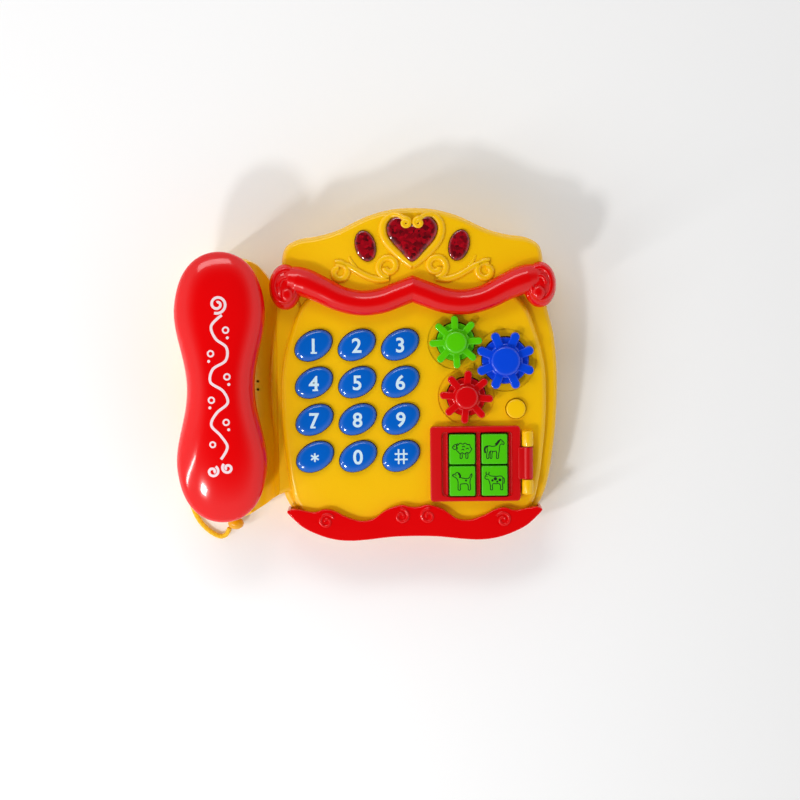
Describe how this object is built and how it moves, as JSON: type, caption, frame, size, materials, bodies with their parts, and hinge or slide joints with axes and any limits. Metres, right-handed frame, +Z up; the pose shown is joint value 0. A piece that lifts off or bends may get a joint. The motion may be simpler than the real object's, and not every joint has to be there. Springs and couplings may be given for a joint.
{
  "type": "toy telephone",
  "caption": "Toy musical telephone: sloping housing with crown and curtain trims, oval keys, meshing gears, hinged key surround and a lift-off handset on a short cord.",
  "frame": {"origin": "middle of the base on the table, without the cord", "axes": "+X to the user's right across the housing, +Y to the crown at the rear, +Z up"},
  "size_m": [0.233, 0.2048, 0.067],
  "materials": {
    "battery_jacket": "printed film",
    "blue_gear": "gloss",
    "blue_key": "gloss with printed numbers",
    "board_laminate": "phenolic laminate with solder mask",
    "cord_braid": "braided polyester",
    "foot_rubber": "soft rubber",
    "green_gear": "gloss",
    "green_key": "semi-gloss with printed line drawings",
    "lamp_resin": "cast resin",
    "membrane_rubber": "silicone",
    "red_gear": "gloss",
    "red_handset": "high gloss",
    "red_plunger": "gloss",
    "red_surround": "semi-gloss",
    "red_trim": "gloss",
    "ruby_lens": "clear tinted, faceted inside",
    "speaker_cone": "paper cone in a pressed frame",
    "steel": "zinc plated",
    "white_pin": "moulded",
    "yellow_anchor": "semi-gloss",
    "yellow_button": "semi-gloss",
    "yellow_shell": "injection-moulded, semi-gloss"
  },
  "bodies": {
    "housing": {"top_shell": "yellow_shell", "base_shell": "yellow_shell", "curtain_trim": "red_trim", "apron_trim": "red_trim", "heart_lens": "ruby_lens", "left_lens": "ruby_lens", "right_lens": "ruby_lens", "surround_pin": "steel", "gear_pin_green": "white_pin", "gear_pin_blue": "white_pin", "gear_pin_red": "white_pin", "hook_spring": "steel", "key_membrane": "membrane_rubber", "circuit_board": "board_laminate", "speaker": "speaker_cone", "lamp_heart": "lamp_resin", "lamp_left": "lamp_resin", "lamp_right": "lamp_resin", "housing_screw_1": "steel", "housing_screw_2": "steel", "housing_screw_3": "steel", "housing_screw_4": "steel", "cord_anchor": "yellow_anchor", "foot_1": "foot_rubber", "foot_2": "foot_rubber", "foot_3": "foot_rubber", "foot_4": "foot_rubber", "battery_door": "yellow_shell", "door_screw": "steel", "battery_1": "battery_jacket", "battery_2": "battery_jacket", "contact_plate": "steel", "handset_cord": "cord_braid"},
    "key_1": {"key_1": "blue_key"},
    "key_2": {"key_2": "blue_key"},
    "key_3": {"key_3": "blue_key"},
    "key_4": {"key_4": "blue_key"},
    "key_5": {"key_5": "blue_key"},
    "key_6": {"key_6": "blue_key"},
    "key_7": {"key_7": "blue_key"},
    "key_8": {"key_8": "blue_key"},
    "key_9": {"key_9": "blue_key"},
    "key_function": {"key_function": "blue_key"},
    "key_0": {"key_0": "blue_key"},
    "key_hash": {"key_hash": "blue_key"},
    "key_sheep": {"key_sheep": "green_key"},
    "key_horse": {"key_horse": "green_key"},
    "key_dog": {"key_dog": "green_key"},
    "key_cow": {"key_cow": "green_key"},
    "round_button": {"round_button": "yellow_button"},
    "key_surround": {"key_surround": "red_surround"},
    "gear_green": {"gear_green": "green_gear"},
    "gear_blue": {"gear_blue": "blue_gear"},
    "gear_red": {"gear_red": "red_gear"},
    "hook_plunger": {"hook_plunger": "red_plunger"},
    "handset": {"handset_upper_shell": "red_handset", "handset_lower_shell": "red_handset"}
  },
  "joints": [
    {"name": "key_1_press", "type": "slide", "parent": "housing", "child": "key_1", "axis": [0, 0.1045, -0.9945], "range_m": [0, 0.0018], "stiffness_N_per_m": 500, "springref_m": -0.0006},
    {"name": "key_2_press", "type": "slide", "parent": "housing", "child": "key_2", "axis": [0, 0.1045, -0.9945], "range_m": [0, 0.0018], "stiffness_N_per_m": 500, "springref_m": -0.0006},
    {"name": "key_3_press", "type": "slide", "parent": "housing", "child": "key_3", "axis": [0, 0.1045, -0.9945], "range_m": [0, 0.0018], "stiffness_N_per_m": 500, "springref_m": -0.0006},
    {"name": "key_4_press", "type": "slide", "parent": "housing", "child": "key_4", "axis": [0, 0.1045, -0.9945], "range_m": [0, 0.0018], "stiffness_N_per_m": 500, "springref_m": -0.0006},
    {"name": "key_5_press", "type": "slide", "parent": "housing", "child": "key_5", "axis": [0, 0.1045, -0.9945], "range_m": [0, 0.0018], "stiffness_N_per_m": 500, "springref_m": -0.0006},
    {"name": "key_6_press", "type": "slide", "parent": "housing", "child": "key_6", "axis": [0, 0.1045, -0.9945], "range_m": [0, 0.0018], "stiffness_N_per_m": 500, "springref_m": -0.0006},
    {"name": "key_7_press", "type": "slide", "parent": "housing", "child": "key_7", "axis": [0, 0.1045, -0.9945], "range_m": [0, 0.0018], "stiffness_N_per_m": 500, "springref_m": -0.0006},
    {"name": "key_8_press", "type": "slide", "parent": "housing", "child": "key_8", "axis": [0, 0.1045, -0.9945], "range_m": [0, 0.0018], "stiffness_N_per_m": 500, "springref_m": -0.0006},
    {"name": "key_9_press", "type": "slide", "parent": "housing", "child": "key_9", "axis": [0, 0.1045, -0.9945], "range_m": [0, 0.0018], "stiffness_N_per_m": 500, "springref_m": -0.0006},
    {"name": "key_function_press", "type": "slide", "parent": "housing", "child": "key_function", "axis": [0, 0.1045, -0.9945], "range_m": [0, 0.0018], "stiffness_N_per_m": 500, "springref_m": -0.0006},
    {"name": "key_0_press", "type": "slide", "parent": "housing", "child": "key_0", "axis": [0, 0.1045, -0.9945], "range_m": [0, 0.0018], "stiffness_N_per_m": 500, "springref_m": -0.0006},
    {"name": "key_hash_press", "type": "slide", "parent": "housing", "child": "key_hash", "axis": [0, 0.1045, -0.9945], "range_m": [0, 0.0018], "stiffness_N_per_m": 500, "springref_m": -0.0006},
    {"name": "key_sheep_press", "type": "slide", "parent": "housing", "child": "key_sheep", "axis": [0, 0.1045, -0.9945], "range_m": [0, 0.0018], "stiffness_N_per_m": 500, "springref_m": -0.0006},
    {"name": "key_horse_press", "type": "slide", "parent": "housing", "child": "key_horse", "axis": [0, 0.1045, -0.9945], "range_m": [0, 0.0018], "stiffness_N_per_m": 500, "springref_m": -0.0006},
    {"name": "key_dog_press", "type": "slide", "parent": "housing", "child": "key_dog", "axis": [0, 0.1045, -0.9945], "range_m": [0, 0.0018], "stiffness_N_per_m": 500, "springref_m": -0.0006},
    {"name": "key_cow_press", "type": "slide", "parent": "housing", "child": "key_cow", "axis": [0, 0.1045, -0.9945], "range_m": [0, 0.0018], "stiffness_N_per_m": 500, "springref_m": -0.0006},
    {"name": "round_button_press", "type": "slide", "parent": "housing", "child": "round_button", "axis": [0, 0.1045, -0.9945], "range_m": [0, 0.0018], "stiffness_N_per_m": 500, "springref_m": -0.0006},
    {"name": "handset_lift", "type": "slide", "parent": "housing", "child": "handset", "axis": [0, -0.1045, 0.9945], "range_m": [0, 0.05]},
    {"name": "hook_rise", "type": "slide", "parent": "housing", "child": "hook_plunger", "axis": [0, -0.1045, 0.9945], "range_m": [0, 0.0028]},
    {"name": "surround_swing", "type": "hinge", "parent": "housing", "child": "key_surround", "pos_m": [0.09758, -0.05496, 0.03433], "axis": [0, 0.9945, 0.1045], "range_deg": [0, 100]},
    {"name": "gear_blue_spin", "type": "hinge", "parent": "housing", "child": "gear_blue", "pos_m": [0.08428, 0.00802, 0.03693], "axis": [0, -0.1045, 0.9945], "continuous": true},
    {"name": "gear_green_spin", "type": "hinge", "parent": "housing", "child": "gear_green", "pos_m": [0.05398, 0.01965, 0.03815], "axis": [0, -0.1045, 0.9945], "continuous": true},
    {"name": "gear_red_spin", "type": "hinge", "parent": "housing", "child": "gear_red", "pos_m": [0.06028, -0.01396, 0.03462], "axis": [0, -0.1045, 0.9945], "continuous": true}
  ],
  "couplings": [
    {"joint": "gear_green_spin", "follows": "gear_blue_spin", "ratio": -1},
    {"joint": "gear_red_spin", "follows": "gear_blue_spin", "ratio": -1},
    {"joint": "hook_rise", "follows": "handset_lift", "ratio": 0.056}
  ]
}
